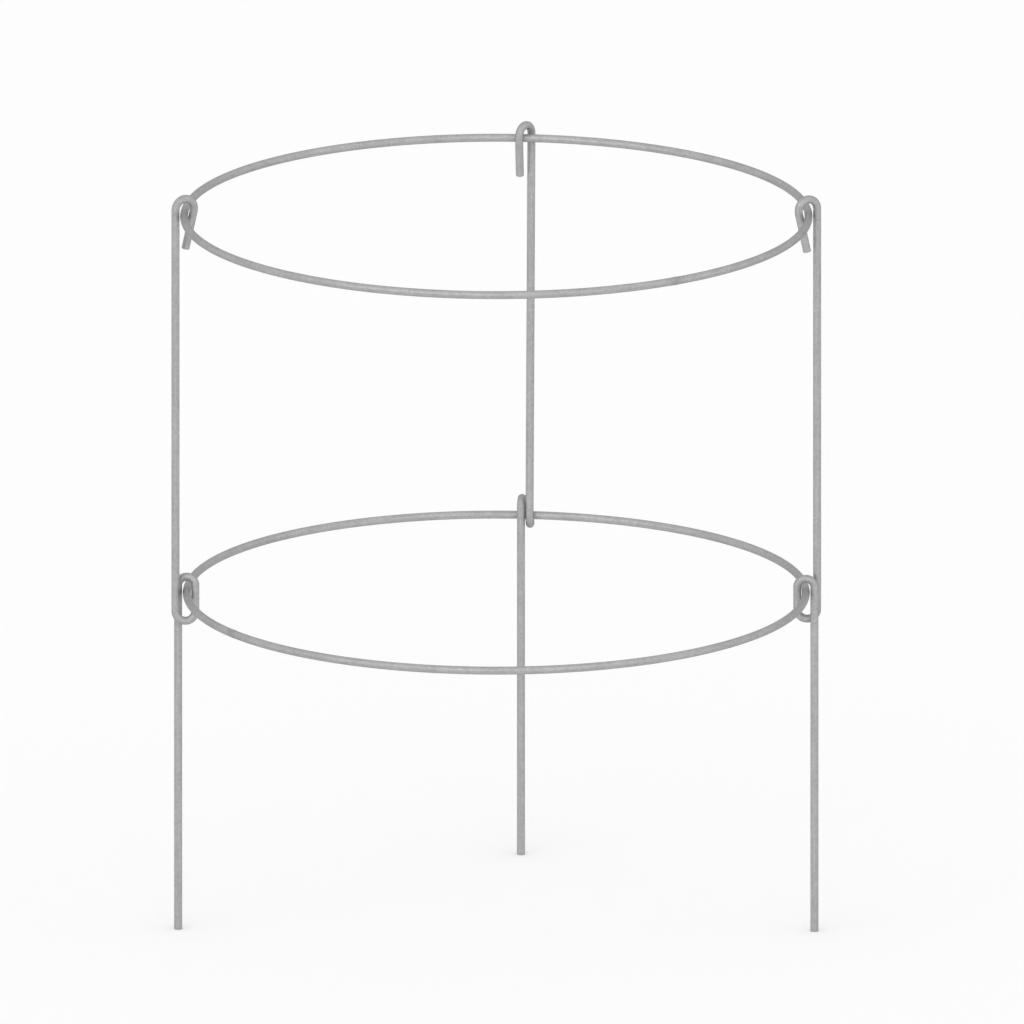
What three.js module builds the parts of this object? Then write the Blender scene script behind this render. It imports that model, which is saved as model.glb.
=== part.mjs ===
// Grow-through plant support of galvanised steel wire: two round hoops carried by three legs.
// Each leg is one wire. From its foot it rises to the lower hoop, winds once round it in a long eye,
// goes on up and ends in a hook that holds the upper hoop. A plant grows up through both hoops.
// Millimetres, +Z up. The feet stand on z = 0 and the third leg stands at the back, near +Y.

import * as THREE from "three";

// Wire: one gauge for the hoops and the legs
const wire_diameter = 4.5;
const wire_sides = 12; // flats round the wire
const hoop_steps = 96; // straight lengths in one hoop
const bend_step_angle = THREE.MathUtils.degToRad(15); // turn from one ring of points to the next in a bend
const same_place_share = 0.05; // of the wire's radius: stations nearer than this are one station

// Heights
const lower_hoop_height = 195.0; // ground to the lower hoop's centreline
const hoop_spacing = 217.5; // lower hoop to upper hoop, centreline to centreline

// Lower hoop, and the clearances of the eye that is wound round it
const lower_hoop_radius = 173.2; // to the wire's centreline
const eye_hoop_gap = 0.3; // between the hoop and each long side of the eye
const turn_gap = 0.3; // between the two turns of the wire where they pass each other

// Eye: the long turn of each leg round the lower hoop
const side_eye_rise = 8.6; // hoop centreline up to the top bend's centreline, right and left legs
const back_eye_rise = 9.6; // the same for the back leg
const side_eye_slack = 10.1; // how far below the hoop its bottom bend begins, right and left legs
const back_eye_slack = 0.1; // the same for the back leg, whose eye is shorter
const shank_step = 1.5; // how much further out a side leg's upper shank stands than its lower one

// Hook: the bend over the upper hoop and the tail that comes back under it
const hook_hoop_gap = 0.3; // between the upper hoop and the shank, and between it and the tail
const tail_angle = THREE.MathUtils.degToRad(12); // lean of the tail from the vertical
const tail_offset = 6.0; // sideways distance from the shank to the tail
const side_kink_height = 3.0; // upper hoop centreline up to where the tail leans, right and left legs
const back_kink_height = 0.6; // the same for the back leg, whose hook is lower
const side_tail_drop = 19.6; // upper hoop centreline down to the tail's cut end, right and left legs
const back_tail_drop = 21.6; // the same for the back leg
const tail_blend = 1.0; // half length of the kink where the bend becomes the tail

// Legs: where each stands round the hoops, to which side its wire turns, and its bends.
// The right and left legs pass the lower hoop on its outer side. The back leg passes it on its
// inner side and leans out from there to the outer side of the upper hoop.
const side_bends = {
  eye_rise: side_eye_rise,
  eye_slack: side_eye_slack,
  kink_height: side_kink_height,
  tail_drop: side_tail_drop,
};
const back_bends = {
  eye_rise: back_eye_rise,
  eye_slack: back_eye_slack,
  kink_height: back_kink_height,
  tail_drop: back_tail_drop,
};
const legs = [
  { name: "leg_right", station: THREE.MathUtils.degToRad(0), hand: 1, inside: false, ...side_bends },
  { name: "leg_left", station: THREE.MathUtils.degToRad(180), hand: 1, inside: false, ...side_bends },
  { name: "leg_back", station: THREE.MathUtils.degToRad(84.48), hand: -1, inside: true, ...back_bends },
];

// Sizes that follow. Distances named _out are outward from the lower hoop's centreline.
const wire_radius = wire_diameter / 2;
const eye_reach = wire_diameter + eye_hoop_gap;
const upper_shank_out = eye_reach + shank_step;
const turn_shift = (wire_diameter + turn_gap) / 2; // each shank stands this far to its own side
const hook_reach = wire_diameter + hook_hoop_gap;
const upper_hoop_out = upper_shank_out - hook_reach;
const upper_hoop_radius = lower_hoop_radius + upper_hoop_out;
const upper_hoop_height = lower_hoop_height + hoop_spacing;

// The back leg's upper shank touches, but for the clearances, the inner side of the lower hoop
// and the outer side of the upper hoop
const hoop_distance = Math.hypot(hoop_spacing, upper_hoop_out);
const crossing_lean = Math.asin((eye_reach + hook_reach) / hoop_distance);
const back_lean = crossing_lean + Math.atan(upper_hoop_out / hoop_spacing);

// A wire's centreline, held as stations: straight runs have one at each end, bends have several.
// It answers by station number, so an extrusion with one step less than it has stations
// puts one ring of points on each of them.
class WirePath extends THREE.Curve {
  constructor(points, tangents) {
    super();
    this.points = points;
    this.tangents = tangents;
  }
  station(t) {
    return Math.round(t * (this.points.length - 1));
  }
  getPoint(t, target = new THREE.Vector3()) {
    return target.copy(this.points[this.station(t)]);
  }
  getPointAt(t, target) {
    return this.getPoint(t, target);
  }
  getTangent(t, target = new THREE.Vector3()) {
    return target.copy(this.tangents[this.station(t)]);
  }
  getTangentAt(t, target) {
    return this.getTangent(t, target);
  }
}

// The path of a wire bent at each inner corner. A bend starts and ends at its own run from the corner.
function bentPath(corners) {
  const points = [];
  const tangents = [];
  const add = (point, tangent) => {
    points.push(point);
    tangents.push(tangent.clone().normalize());
  };
  const at = (index) => corners[index].at;
  const last = corners.length - 1;
  add(at(0), at(1).clone().sub(at(0)));
  for (let i = 1; i < last; i += 1) {
    const inward = at(i).clone().sub(at(i - 1)).normalize();
    const outward = at(i + 1).clone().sub(at(i)).normalize();
    const turn = inward.angleTo(outward);
    const radius = corners[i].run / Math.tan(turn / 2);
    const start = at(i).clone().addScaledVector(inward, -corners[i].run);
    const side = outward.clone().addScaledVector(inward, -inward.dot(outward)).normalize();
    const centre = start.clone().addScaledVector(side, radius);
    const steps = Math.max(1, Math.round(turn / bend_step_angle));
    const gap = points[points.length - 1].distanceTo(start);
    const first = gap < same_place_share * wire_radius ? 1 : 0;
    for (let k = first; k <= steps; k += 1) {
      const angle = (turn * k) / steps;
      const point = centre
        .clone()
        .addScaledVector(side, -radius * Math.cos(angle))
        .addScaledVector(inward, radius * Math.sin(angle));
      const tangent = inward.clone().multiplyScalar(Math.cos(angle)).addScaledVector(side, Math.sin(angle));
      add(point, tangent);
    }
  }
  add(at(last), at(last).clone().sub(at(last - 1)));
  return new WirePath(points, tangents);
}

// A leg's centreline from its foot to its tail, for a leg at station 0. +X is outward there.
function legPath({ hand, inside, eye_rise, eye_slack, kink_height, tail_drop }) {
  const lower_side = -hand * turn_shift;
  const upper_side = hand * turn_shift;
  const tail_side = upper_side - hand * tail_offset;
  const place = (out, side, height) => new THREE.Vector3(lower_hoop_radius + out, side, height);

  // Upper shank: upright outside both hoops, or leaning from inside the lower to outside the upper one
  const leaningOut = (height) =>
    (height - lower_hoop_height) * Math.tan(back_lean) - eye_reach / Math.cos(back_lean);
  const shankOut = (height) => (inside ? leaningOut(height) : upper_shank_out);

  // Eye: over the hoop, down its far side, slantwise to the other shank's place, and back under it
  const lower_shank_out = inside ? -eye_reach : eye_reach;
  const far_side_out = -lower_shank_out;
  const bottom_bend = Math.abs(shankOut(lower_hoop_height) - far_side_out) / 2;
  const eye_top = lower_hoop_height + eye_rise;
  const eye_bottom = lower_hoop_height - eye_slack - bottom_bend;

  // Hook: the tail's line passes the upper hoop at the hook's reach, square to its lean
  const tailOut = (height) =>
    upper_hoop_out - hook_reach / Math.cos(tail_angle) - height * Math.tan(tail_angle);
  const hook_width = upper_shank_out - tailOut(kink_height);
  const hook_bend = Math.hypot(hook_width, tail_offset) / 2;
  const hook_top = upper_hoop_height + kink_height + tail_blend + hook_bend;

  return bentPath([
    { at: place(lower_shank_out, lower_side, 0) },
    { at: place(lower_shank_out, lower_side, eye_top), run: eye_reach },
    { at: place(far_side_out, lower_side, eye_top), run: eye_reach },
    { at: place(far_side_out, upper_side, eye_bottom), run: bottom_bend },
    { at: place(shankOut(eye_bottom), upper_side, eye_bottom), run: bottom_bend },
    { at: place(shankOut(hook_top), upper_side, hook_top), run: hook_bend },
    { at: place(tailOut(kink_height), tail_side, hook_top), run: hook_bend },
    { at: place(tailOut(kink_height), tail_side, upper_hoop_height + kink_height), run: tail_blend },
    { at: place(tailOut(-tail_drop), tail_side, upper_hoop_height - tail_drop) },
  ]);
}

// Galvanised wire: dull, light grey zinc
function galvanised() {
  return new THREE.MeshStandardMaterial({ color: "#b3b4b5", roughness: 0.5, metalness: 0.9 });
}

// A hoop: the wire rolled round and butt-welded flush, so that it has no ends
function makeHoop(name, radius, height) {
  const geometry = new THREE.TorusGeometry(radius, wire_radius, wire_sides, hoop_steps);
  const hoop = new THREE.Mesh(geometry, galvanised());
  hoop.name = name;
  hoop.position.z = height;
  return hoop;
}

// A leg: a round section drawn along the bent centreline, cut square at both ends
function makeLeg(leg) {
  const section = new THREE.Shape();
  for (let k = 0; k < wire_sides; k += 1) {
    const angle = (2 * Math.PI * k) / wire_sides;
    const x = wire_radius * Math.cos(angle);
    const y = wire_radius * Math.sin(angle);
    if (k === 0) section.moveTo(x, y);
    else section.lineTo(x, y);
  }
  section.closePath();
  const path = legPath(leg);
  const geometry = new THREE.ExtrudeGeometry(section, {
    extrudePath: path,
    steps: path.points.length - 1,
    bevelEnabled: false,
  });
  const wire = new THREE.Mesh(geometry, galvanised());
  wire.name = leg.name;
  wire.rotation.z = leg.station;
  return wire;
}

const support = new THREE.Group();
support.name = "grow_through_plant_support";
support.add(makeHoop("upper_hoop", upper_hoop_radius, upper_hoop_height));
support.add(makeHoop("lower_hoop", lower_hoop_radius, lower_hoop_height));
legs.forEach((leg) => support.add(makeLeg(leg)));

// The whole stands with the middle of its footprint over the origin
const middle = new THREE.Box3().setFromObject(support).getCenter(new THREE.Vector3());
support.position.set(-middle.x, -middle.y, 0);

export default support;
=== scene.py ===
import math

import bmesh
import bpy
from mathutils import Matrix, Vector


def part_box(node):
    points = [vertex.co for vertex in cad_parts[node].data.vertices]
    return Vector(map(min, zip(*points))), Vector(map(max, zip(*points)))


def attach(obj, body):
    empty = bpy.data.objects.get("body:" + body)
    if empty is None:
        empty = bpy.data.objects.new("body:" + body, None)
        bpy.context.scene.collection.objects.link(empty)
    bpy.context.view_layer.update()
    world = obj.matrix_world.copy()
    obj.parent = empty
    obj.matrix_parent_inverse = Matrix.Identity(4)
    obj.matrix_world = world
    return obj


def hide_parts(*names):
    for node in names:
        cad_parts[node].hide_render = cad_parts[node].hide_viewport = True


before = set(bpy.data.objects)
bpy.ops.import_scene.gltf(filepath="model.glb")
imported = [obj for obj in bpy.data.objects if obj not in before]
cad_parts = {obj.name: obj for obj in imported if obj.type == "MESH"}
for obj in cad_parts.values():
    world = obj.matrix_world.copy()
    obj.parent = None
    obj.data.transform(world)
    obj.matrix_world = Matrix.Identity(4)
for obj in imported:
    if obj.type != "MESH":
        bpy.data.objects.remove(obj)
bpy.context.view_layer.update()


# Galvanised wire
# Drawn steel wire that was run through molten zinc before it was bent. The zinc is dull light grey,
# faintly streaked along the wire by the drawing die and the wiping, cloudy where it has aged, duller
# where a weld heated it and finely cracked across the wire on the outer side of the tight bends.
zinc_pale = "#b4b4b4"
zinc_mid = "#a7a7a7"
zinc_dull = "#999999"
zinc_grazing = "#606060"
zinc_metallic = 0.5  # a pale oxide skin covers about half of the bright metal
streak_width = 0.0004  # real ones are about 0.1 mm wide; drawn coarser so that they show
streak_length = 0.03
streak_detail = 3.0
streak_breakup = 0.55
cloud_width = 0.012
cloud_detail = 3.0
cloud_breakup = 0.6
spangle_width = 0.0013
grain_width = 0.0003
grain_detail = 2.0
crack_spacing = 0.00025
crack_length = 0.0012
crack_detail = 2.0
crack_begins = 0.5  # level of the crack noise where a crack begins
crack_is_full = 0.62  # and where it is at its darkest
crack_dulling = 0.9
weld_dulling = 0.14
crystal_share = 0.25  # of the fine tone; streaks make the rest
cloud_share = 0.3  # of the whole tone; the fine tone makes the rest
dullest_tone = 0.3
middle_tone = 0.5
palest_tone = 0.7
dull_roughness = 0.52
pale_roughness = 0.38
grain_share = 0.35  # of the relief; streaks make the rest
zinc_relief = 0.00004
zinc_relief_strength = 0.35


def linear(hex_colour):
    """An sRGB hex colour as linear red, green, blue and alpha."""
    channels = [int(hex_colour[i : i + 2], 16) / 255 for i in (1, 3, 5)]
    return [c / 12.92 if c <= 0.04045 else ((c + 0.055) / 1.055) ** 2.4 for c in channels] + [1.0]


def add_node(tree, kind, settings=None, links=None):
    """Adds a node, sets its properties and input values, and links its inputs to other sockets."""
    node = tree.nodes.new(kind)
    for name, value in (settings or {}).items():
        if isinstance(name, str) and hasattr(node, name):
            setattr(node, name, value)
        else:
            node.inputs[name].default_value = value
    for name, socket in (links or {}).items():
        tree.links.new(socket, node.inputs[name])
    return node


def new_material(name):
    """An empty node material with its output."""
    material = bpy.data.materials.new(name)
    material.use_nodes = True
    material.node_tree.nodes.clear()
    output = add_node(material.node_tree, "ShaderNodeOutputMaterial")
    return material, material.node_tree, output


def set_ramp(node, stops):
    """Gives a colour ramp its stops, each a position and a linear colour."""
    elements = node.color_ramp.elements
    while len(elements) < len(stops):
        elements.new(1.0)
    for element, (position, colour) in zip(elements, stops):
        element.position = position
        element.color = colour


def drawn_galvanised_wire():
    material, tree, output = new_material("drawn_galvanised_wire")
    straight = add_node(tree, "ShaderNodeAttribute", {"attribute_name": "straight_wire"})
    place = add_node(tree, "ShaderNodeTexCoord")

    # Streaks run the length of the wire, on where each point lay before the wire was bent
    along = add_node(
        tree,
        "ShaderNodeMapping",
        {"Scale": (1 / streak_width, 1 / streak_width, 1 / streak_length)},
        {"Vector": straight.outputs["Vector"]},
    )
    streaks = add_node(
        tree,
        "ShaderNodeTexNoise",
        {"Scale": 1.0, "Detail": streak_detail, "Roughness": streak_breakup},
        {"Vector": along.outputs["Vector"]},
    )
    clouds = add_node(
        tree,
        "ShaderNodeTexNoise",
        {"Scale": 1 / cloud_width, "Detail": cloud_detail, "Roughness": cloud_breakup},
        {"Vector": place.outputs["Object"]},
    )
    spangle = add_node(
        tree,
        "ShaderNodeTexVoronoi",
        {"feature": "F1", "Scale": 1 / spangle_width, "Randomness": 1.0},
        {"Vector": place.outputs["Object"]},
    )
    grain = add_node(
        tree,
        "ShaderNodeTexNoise",
        {"Scale": 1 / grain_width, "Detail": grain_detail},
        {"Vector": place.outputs["Object"]},
    )

    # Cracks lie across the wire, and only where bending stretched it
    across = add_node(
        tree,
        "ShaderNodeMapping",
        {"Scale": (1 / crack_length, 1 / crack_length, 1 / crack_spacing)},
        {"Vector": straight.outputs["Vector"]},
    )
    crack_noise = add_node(
        tree,
        "ShaderNodeTexNoise",
        {"Scale": 1.0, "Detail": crack_detail},
        {"Vector": across.outputs["Vector"]},
    )
    crack_lines = add_node(
        tree,
        "ShaderNodeMapRange",
        {"From Min": crack_begins, "From Max": crack_is_full},
        {"Value": crack_noise.outputs["Fac"]},
    )
    stretched = add_node(tree, "ShaderNodeAttribute", {"attribute_name": "bend_stretch"})
    cracks = add_node(
        tree,
        "ShaderNodeMath",
        {"operation": "MULTIPLY"},
        {0: stretched.outputs["Fac"], 1: crack_lines.outputs["Result"]},
    )
    heated = add_node(tree, "ShaderNodeAttribute", {"attribute_name": "weld_heat"})

    # Tone: fine streaks, a shade of its own for each small zinc crystal, and a little of the clouds
    crystal = add_node(
        tree, "ShaderNodeSeparateColor", {"mode": "RGB"}, {"Color": spangle.outputs["Color"]}
    )
    fine_tone = add_node(
        tree,
        "ShaderNodeMix",
        {"data_type": "FLOAT", "Factor": crystal_share},
        {"A": streaks.outputs["Fac"], "B": crystal.outputs["Red"]},
    )
    tone = add_node(
        tree,
        "ShaderNodeMix",
        {"data_type": "FLOAT", "Factor": cloud_share},
        {"A": fine_tone.outputs["Result"], "B": clouds.outputs["Fac"]},
    )
    cracked_tone = add_node(
        tree,
        "ShaderNodeMath",
        {"operation": "MULTIPLY_ADD", 1: -crack_dulling},
        {0: cracks.outputs["Value"], 2: tone.outputs["Result"]},
    )
    worn_tone = add_node(
        tree,
        "ShaderNodeMath",
        {"operation": "MULTIPLY_ADD", 1: -weld_dulling},
        {0: heated.outputs["Fac"], 2: cracked_tone.outputs["Value"]},
    )
    colour = add_node(tree, "ShaderNodeValToRGB", {}, {"Fac": worn_tone.outputs["Value"]})
    set_ramp(
        colour,
        [
            (dullest_tone, linear(zinc_dull)),
            (middle_tone, linear(zinc_mid)),
            (palest_tone, linear(zinc_pale)),
        ],
    )

    # The dull clouds are also the rougher ones
    roughness = add_node(
        tree,
        "ShaderNodeMapRange",
        {
            "From Min": dullest_tone,
            "From Max": palest_tone,
            "To Min": dull_roughness,
            "To Max": pale_roughness,
        },
        {"Value": worn_tone.outputs["Value"]},
    )
    relief = add_node(
        tree,
        "ShaderNodeMix",
        {"data_type": "FLOAT", "Factor": grain_share},
        {"A": streaks.outputs["Fac"], "B": grain.outputs["Fac"]},
    )
    cracked_relief = add_node(
        tree,
        "ShaderNodeMath",
        {"operation": "SUBTRACT"},
        {0: relief.outputs["Result"], 1: cracks.outputs["Value"]},
    )
    bump = add_node(
        tree,
        "ShaderNodeBump",
        {"Strength": zinc_relief_strength, "Distance": zinc_relief},
        {"Height": cracked_relief.outputs["Value"]},
    )
    surface = add_node(
        tree,
        "ShaderNodeBsdfPrincipled",
        {"Metallic": zinc_metallic, "Specular Tint": linear(zinc_grazing)},
        {
            "Base Color": colour.outputs["Color"],
            "Roughness": roughness.outputs["Result"],
            "Normal": bump.outputs["Normal"],
        },
    )
    tree.links.new(surface.outputs["BSDF"], output.inputs["Surface"])
    return material


galvanised = drawn_galvanised_wire()


# Lower hoop
# One length of the wire rolled to a circle and butt-welded end to end, then dressed almost flush.
# It hangs in the eyes of the three legs and keeps them apart.
lower_low, lower_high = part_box("lower_hoop")
wire_radius = (lower_high.z - lower_low.z) / 2
lower_hoop_centre = (lower_low + lower_high) / 2
lower_hoop_radius = (lower_high.x - lower_low.x) / 2 - wire_radius
wire_sides = 32
hoop_steps = 288
weld_swell = 0.00012  # how far the dressed weld still stands proud of the wire
weld_length = 0.0014
heated_length = 0.004
weld_zone = 0.009
weld_cuts = 3
lower_weld_angle = math.radians(212)


def note_straight_wire(bm, side, reach, closed_length=None):
    """Writes to each face corner where it lay while the wire was still straight."""
    straight = bm.loops.layers.float_vector.new("straight_wire")
    for face in bm.faces:
        furthest = max(corner.vert[reach] for corner in face.loops)
        for corner in face.loops:
            angle = 2 * math.pi * corner.vert[side] / wire_sides
            distance = corner.vert[reach]
            if closed_length and furthest - distance > closed_length / 2:
                distance += closed_length
            corner[straight] = (wire_radius * math.cos(angle), wire_radius * math.sin(angle), distance)


def finish_piece(bm, name, body, node, materials):
    """Turns the bmesh into a shown piece that rides on its body and stands for its CAD node."""
    mesh = bpy.data.meshes.new(name)
    for material in materials:
        mesh.materials.append(material)
    bm.normal_update()
    bm.to_mesh(mesh)
    bm.free()
    mesh.shade_smooth()
    piece = bpy.data.objects.new(name, mesh)
    bpy.context.scene.collection.objects.link(piece)
    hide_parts(node)
    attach(piece, body)
    return piece


def roll_hoop(name, centre, radius, weld_angle, body, node):
    """A round section spun once about the hoop's axis and merged where its ends meet."""
    bm = bmesh.new()
    side = bm.verts.layers.float.new("side")
    reach = bm.verts.layers.float.new("reach")
    heat = bm.verts.layers.float.new("weld_heat")
    upright = Matrix.Rotation(math.radians(90), 4, "X")
    turned = Matrix.Rotation(weld_angle, 4, "Z")
    start = Matrix.Translation(centre) @ turned @ Matrix.Translation((radius, 0, 0)) @ upright
    bmesh.ops.create_circle(bm, cap_ends=False, segments=wire_sides, radius=wire_radius, matrix=start)
    for number, vert in enumerate(bm.verts):
        vert[side] = number
    bmesh.ops.spin(
        bm,
        geom=bm.verts[:] + bm.edges[:],
        cent=centre,
        axis=(0, 0, 1),
        dvec=(0, 0, 0),
        angle=2 * math.pi,
        steps=hoop_steps,
        use_merge=True,
        use_duplicate=False,
    )

    # The weld stands at the place where the circle starts and ends, and the rings are closer there
    length = 2 * math.pi * radius

    def place_round(vert):
        """How far round the hoop a vertex is from the weld, and how far by the shorter way."""
        angle = math.atan2(vert.co.y - centre.y, vert.co.x - centre.x)
        distance = (angle - weld_angle) % (2 * math.pi) * radius
        return distance, min(distance, length - distance)

    step = length / hoop_steps
    lengthwise = []
    for edge in bm.edges:
        one, other = (place_round(vert)[1] for vert in edge.verts)
        if max(one, other) < weld_zone and abs(one - other) > step / 2:
            lengthwise.append(edge)
    bmesh.ops.subdivide_edges(bm, edges=lengthwise, cuts=weld_cuts)
    bmesh.ops.recalc_face_normals(bm, faces=bm.faces)
    for vert in bm.verts:
        vert[reach], from_weld = place_round(vert)
        vert[heat] = math.exp(-((from_weld / heated_length) ** 2))
        core = Vector((vert.co.x - centre.x, vert.co.y - centre.y, 0)).normalized() * radius + centre
        outward = (vert.co - core).normalized()
        vert.co += outward * weld_swell * math.exp(-((from_weld / weld_length) ** 2))
    note_straight_wire(bm, side, reach, length)
    return finish_piece(bm, name, body, node, [galvanised])


roll_hoop(
    "lower_hoop_wire",
    lower_hoop_centre,
    lower_hoop_radius,
    lower_weld_angle,
    "lower_hoop",
    "lower_hoop",
)


# Legs
# Each leg is one length of the same wire, cropped at both ends and bent cold on a forming machine:
# a straight foot, a long eye wound once round the lower hoop, a straight shank and a hook whose tail
# comes back under the upper hoop. The back leg winds the other way, from inside the lower hoop.
eye_hoop_gap = 0.0003
turn_gap = 0.0003
side_eye_rise = 0.0086
back_eye_rise = 0.0096
side_eye_slack = 0.0101
back_eye_slack = 0.0001
shank_step = 0.0015
hook_hoop_gap = 0.0003
tail_angle = math.radians(12)
tail_offset = 0.006
side_kink_height = 0.003
back_kink_height = 0.0006
side_tail_drop = 0.0196
back_tail_drop = 0.0216
tail_blend = 0.001
bend_step_angle = math.radians(6)
end_chamfer = 0.00035
end_chamfer_segments = 4
end_chamfer_roundness = 0.5  # a quarter circle
side_station_right = math.radians(0)
side_station_left = math.radians(180)
back_station = math.radians(84.48)
steel_pale = "#7d7a77"
steel_dark = "#4f4b49"
steel_roughness = 0.5
darkest_ridge = 0.35
palest_ridge = 0.65
shear_mark_width = 0.0005
shear_mark_detail = 4.0
shear_mark_breakup = 0.7
shear_relief = 0.0001
shear_relief_strength = 0.6

upper_low, upper_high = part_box("upper_hoop")
upper_hoop_centre = (upper_low + upper_high) / 2
upper_hoop_radius = (upper_high.x - upper_low.x) / 2 - wire_radius


def sheared_steel():
    """Bare steel where the wire was cropped: darker than the zinc, with the shear's fine ridges."""
    material, tree, output = new_material("sheared_steel")
    place = add_node(tree, "ShaderNodeTexCoord")
    ridges = add_node(
        tree,
        "ShaderNodeTexNoise",
        {
            "Scale": 1 / shear_mark_width,
            "Detail": shear_mark_detail,
            "Roughness": shear_mark_breakup,
        },
        {"Vector": place.outputs["Object"]},
    )
    colour = add_node(tree, "ShaderNodeValToRGB", {}, {"Fac": ridges.outputs["Fac"]})
    set_ramp(colour, [(darkest_ridge, linear(steel_dark)), (palest_ridge, linear(steel_pale))])
    bump = add_node(
        tree,
        "ShaderNodeBump",
        {"Strength": shear_relief_strength, "Distance": shear_relief},
        {"Height": ridges.outputs["Fac"]},
    )
    surface = add_node(
        tree,
        "ShaderNodeBsdfPrincipled",
        {"Metallic": 1.0, "Roughness": steel_roughness},
        {"Base Color": colour.outputs["Color"], "Normal": bump.outputs["Normal"]},
    )
    tree.links.new(surface.outputs["BSDF"], output.inputs["Surface"])
    return material


cut_end = sheared_steel()


def leg_corners(hand, inside, eye_rise, eye_slack, kink_height, tail_drop):
    """The corners that a leg's centreline is bent at, with each bend's run, for a leg at station 0."""
    eye_reach = 2 * wire_radius + eye_hoop_gap
    hook_reach = 2 * wire_radius + hook_hoop_gap
    upper_shank_out = eye_reach + shank_step
    upper_hoop_out = upper_shank_out - hook_reach
    lower_side = -hand * (2 * wire_radius + turn_gap) / 2
    upper_side = -lower_side
    tail_side = upper_side - hand * tail_offset
    hoop_spacing = upper_hoop_centre.z - lower_hoop_centre.z
    hoop_distance = math.hypot(hoop_spacing, upper_hoop_out)
    lean = math.asin((eye_reach + hook_reach) / hoop_distance) + math.atan(upper_hoop_out / hoop_spacing)

    def place(out, side, height):
        return Vector((lower_hoop_radius + out, side, height))

    def shank_out(height):
        if inside:
            return (height - lower_hoop_centre.z) * math.tan(lean) - eye_reach / math.cos(lean)
        return upper_shank_out

    lower_shank_out = -eye_reach if inside else eye_reach
    far_side_out = -lower_shank_out
    bottom_bend = abs(shank_out(lower_hoop_centre.z) - far_side_out) / 2
    eye_top = lower_hoop_centre.z + eye_rise
    eye_bottom = lower_hoop_centre.z - eye_slack - bottom_bend

    def tail_out(height):
        return upper_hoop_out - hook_reach / math.cos(tail_angle) - height * math.tan(tail_angle)

    kink = upper_hoop_centre.z + kink_height
    hook_bend = math.hypot(upper_shank_out - tail_out(kink_height), tail_offset) / 2
    hook_top = kink + tail_blend + hook_bend
    tail_end = upper_hoop_centre.z - tail_drop
    return [
        (place(lower_shank_out, lower_side, 0), 0),
        (place(lower_shank_out, lower_side, eye_top), eye_reach),
        (place(far_side_out, lower_side, eye_top), eye_reach),
        (place(far_side_out, upper_side, eye_bottom), bottom_bend),
        (place(shank_out(eye_bottom), upper_side, eye_bottom), bottom_bend),
        (place(shank_out(hook_top), upper_side, hook_top), hook_bend),
        (place(tail_out(kink_height), tail_side, hook_top), hook_bend),
        (place(tail_out(kink_height), tail_side, kink), tail_blend),
        (place(tail_out(-tail_drop), tail_side, tail_end), 0),
    ]


def bend_leg(name, station, corners, body, node):
    """A round section pushed along straight runs and turned about each bend's own axis."""
    bm = bmesh.new()
    side = bm.verts.layers.float.new("side")
    reach = bm.verts.layers.float.new("reach")
    stretch = bm.verts.layers.float.new("bend_stretch")
    start = Matrix.Translation(corners[0][0])
    bmesh.ops.create_circle(bm, cap_ends=False, segments=wire_sides, radius=wire_radius, matrix=start)
    for number, vert in enumerate(bm.verts):
        vert[side] = number
    ends = [bm.edges[:]]
    ring = bm.edges[:]
    point = corners[0][0].copy()
    travelled = 0.0

    def grow(length):
        """Extrudes the last ring in place and returns the new ring's edges and vertices."""
        made = bmesh.ops.extrude_edge_only(bm, edges=ring)["geom"]
        verts = [item for item in made if isinstance(item, bmesh.types.BMVert)]
        fresh = set(verts)
        edges = [
            item
            for item in made
            if isinstance(item, bmesh.types.BMEdge) and set(item.verts) <= fresh
        ]
        for vert in verts:
            vert[reach] = travelled + length
        return edges, verts

    for number in range(1, len(corners)):
        corner, run = corners[number]
        heading = (corner - corners[number - 1][0]).normalized()
        bend_start = corner - heading * run
        straight = (bend_start - point).length
        if straight > wire_radius / wire_sides:
            ring, verts = grow(straight)
            bmesh.ops.translate(bm, vec=bend_start - point, verts=verts)
            travelled += straight
            point = bend_start
        if run:
            leaving = (corners[number + 1][0] - corner).normalized()
            turn = heading.angle(leaving)
            radius = run / math.tan(turn / 2)
            inward = (leaving - heading * heading.dot(leaving)).normalized()
            centre = point + inward * radius
            steps = max(2, round(turn / bend_step_angle))
            step_turn = Matrix.Rotation(turn / steps, 3, heading.cross(leaving))
            outwards = -inward
            for done in range(1, steps + 1):
                step = radius * turn / steps
                ring, verts = grow(step)
                bmesh.ops.rotate(bm, cent=centre, matrix=step_turn, verts=verts)
                travelled += step
                outwards = step_turn @ outwards
                for vert in verts:
                    past_core = (vert.co - centre).dot(outwards) - radius
                    vert[stretch] = max(0, past_core / radius) if done < steps else 0
            point = corner + leaving * run
    ends.append(ring)

    # Both ends are cropped square, and the crop leaves a small rounded lip
    for end in ends:
        face = bmesh.ops.contextual_create(bm, geom=end)["faces"][0]
        face.material_index = 1
        rim = list(face.edges)
        bmesh.ops.bevel(
            bm,
            geom=rim,
            offset=end_chamfer,
            offset_type="OFFSET",
            segments=end_chamfer_segments,
            profile=end_chamfer_roundness,
            affect="EDGES",
            material=-1,
        )
    bmesh.ops.recalc_face_normals(bm, faces=bm.faces)
    note_straight_wire(bm, side, reach)
    to_station = Matrix.Rotation(station, 4, "Z")
    footprint = Vector((lower_hoop_centre.x, lower_hoop_centre.y, 0))
    bmesh.ops.transform(bm, matrix=Matrix.Translation(footprint) @ to_station, verts=bm.verts)
    return finish_piece(bm, name, body, node, [galvanised, cut_end])


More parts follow.
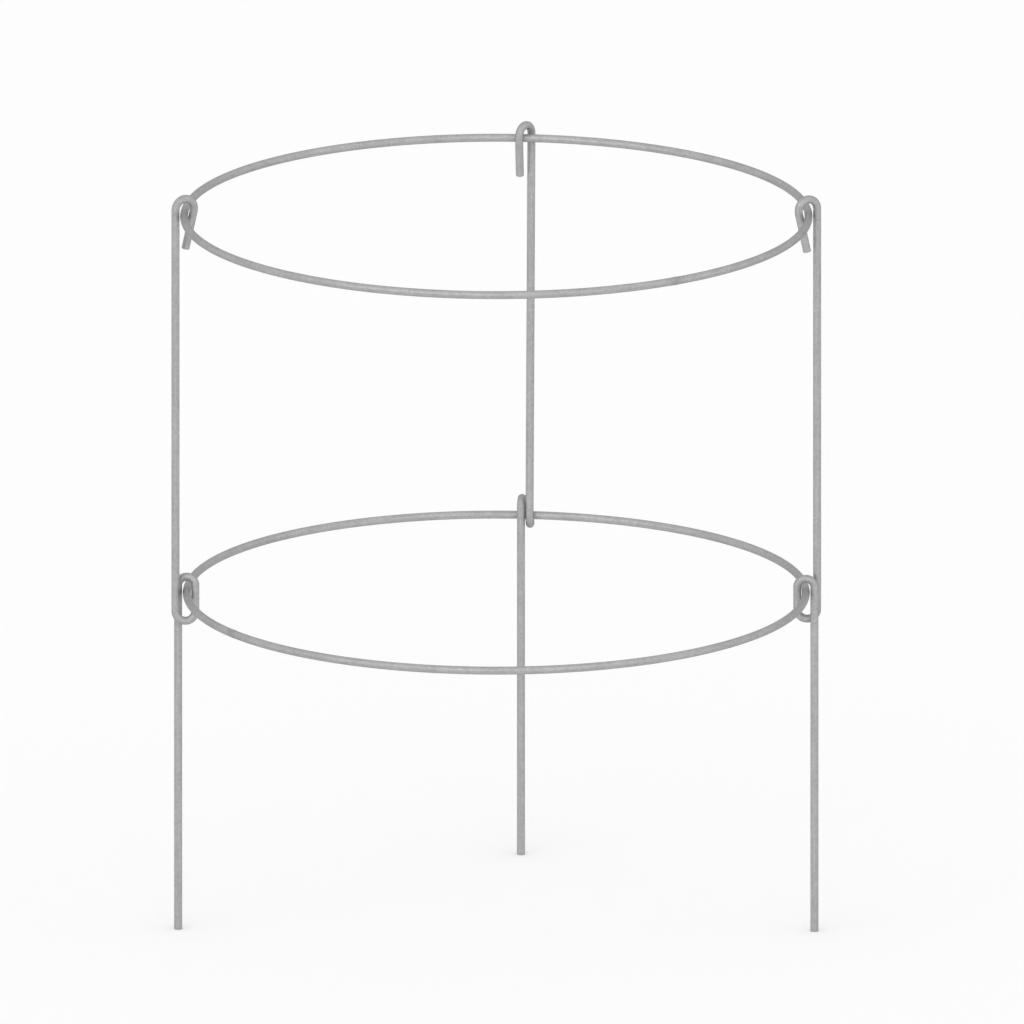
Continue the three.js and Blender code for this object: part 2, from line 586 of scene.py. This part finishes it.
side_corners = leg_corners(1, False, side_eye_rise, side_eye_slack, side_kink_height, side_tail_drop)
back_corners = leg_corners(-1, True, back_eye_rise, back_eye_slack, back_kink_height, back_tail_drop)
for name, station, corners in (
    ("leg_right", side_station_right, side_corners),
    ("leg_left", side_station_left, side_corners),
    ("leg_back", back_station, back_corners),
):
    bend_leg(name + "_wire", station, corners, name, name)


# Upper hoop
# One length of the same wire, rolled and butt-welded as the lower hoop is, but a little wider.
# It is pressed past the tails into the hooks of the three legs, which carry it.
upper_weld_angle = math.radians(305)

roll_hoop(
    "upper_hoop_wire",
    upper_hoop_centre,
    upper_hoop_radius,
    upper_weld_angle,
    "upper_hoop",
    "upper_hoop",
)


# Studio
# A wide pale floor, an even pale surrounding and two broad soft lamps. Nothing here is coloured.
floor_colour = "#fbfbfb"
floor_roughness = 0.9
floor_half_size = 12.0
surround_strength = 0.84
key_strength = 0.3
key_from = Vector((-0.45, -1.0, 0.5))
key_softness = math.radians(80)
fill_strength = 0.12
fill_from = Vector((0.9, -0.6, 0.45))
fill_softness = math.radians(90)


def lay_floor():
    bm = bmesh.new()
    bmesh.ops.create_grid(bm, x_segments=1, y_segments=1, size=floor_half_size)
    mesh = bpy.data.meshes.new("floor")
    bm.to_mesh(mesh)
    bm.free()
    floor = bpy.data.objects.new("floor", mesh)
    bpy.context.scene.collection.objects.link(floor)
    material, tree, output = new_material("pale_floor_paint")
    surface = add_node(
        tree,
        "ShaderNodeBsdfPrincipled",
        {"Base Color": linear(floor_colour), "Roughness": floor_roughness, "Specular IOR Level": 0.0},
    )
    tree.links.new(surface.outputs["BSDF"], output.inputs["Surface"])
    mesh.materials.append(material)


def hang_lamp(name, strength, source, softness):
    """A distant lamp of that angular size, shining from source towards the object."""
    lamp = bpy.data.lights.new(name, "SUN")
    lamp.energy = strength
    lamp.angle = softness
    holder = bpy.data.objects.new(name, lamp)
    holder.rotation_mode = "QUATERNION"
    holder.rotation_quaternion = source.to_track_quat("Z", "Y")
    holder.location = source
    bpy.context.scene.collection.objects.link(holder)


def light_surround():
    """The world is plain white where it is seen, mirrored or looked through, and dimmer as a light."""
    world = bpy.data.worlds.new("white_surround")
    world.use_nodes = True
    tree = world.node_tree
    tree.nodes.clear()
    output = add_node(tree, "ShaderNodeOutputWorld")
    path = add_node(tree, "ShaderNodeLightPath")
    mirrored = add_node(
        tree,
        "ShaderNodeMath",
        {"operation": "MAXIMUM"},
        {0: path.outputs["Is Glossy Ray"], 1: path.outputs["Is Transmission Ray"]},
    )
    seen = add_node(
        tree,
        "ShaderNodeMath",
        {"operation": "MAXIMUM"},
        {0: path.outputs["Is Camera Ray"], 1: mirrored.outputs["Value"]},
    )
    strength = add_node(
        tree,
        "ShaderNodeMapRange",
        {"To Min": surround_strength, "To Max": 1.0},
        {"Value": seen.outputs["Value"]},
    )
    light = add_node(
        tree,
        "ShaderNodeBackground",
        {"Color": (1.0, 1.0, 1.0, 1.0)},
        {"Strength": strength.outputs["Result"]},
    )
    tree.links.new(light.outputs["Background"], output.inputs["Surface"])
    bpy.context.scene.world = world


lay_floor()
hang_lamp("key_lamp", key_strength * math.pi, key_from, key_softness)
hang_lamp("fill_lamp", fill_strength * math.pi, fill_from, fill_softness)
light_surround()


# Camera
# The photograph is a parallel view from 14.6 degrees above the horizon, straight from the front.
photo_size_px = 1024
hoop_axis_px = 496.3
lower_hoop_px = 592.6
metres_per_px = 0.0005595
camera_elevation = math.radians(14.6)
camera_distance = 3.0


def place_camera():
    up = Vector((0, math.sin(camera_elevation), math.cos(camera_elevation)))
    back = Vector((0, -math.cos(camera_elevation), math.sin(camera_elevation)))
    aim = lower_hoop_centre.copy()
    aim.x += (photo_size_px / 2 - hoop_axis_px) * metres_per_px
    aim += up * (lower_hoop_px - photo_size_px / 2) * metres_per_px
    lens = bpy.data.cameras.new("camera")
    lens.type = "ORTHO"
    lens.ortho_scale = photo_size_px * metres_per_px
    camera = bpy.data.objects.new("camera", lens)
    camera.location = aim + back * camera_distance
    camera.rotation_euler = (math.pi / 2 - camera_elevation, 0, 0)
    bpy.context.scene.collection.objects.link(camera)
    bpy.context.scene.camera = camera


place_camera()
bpy.context.scene.view_settings.view_transform = "Standard"
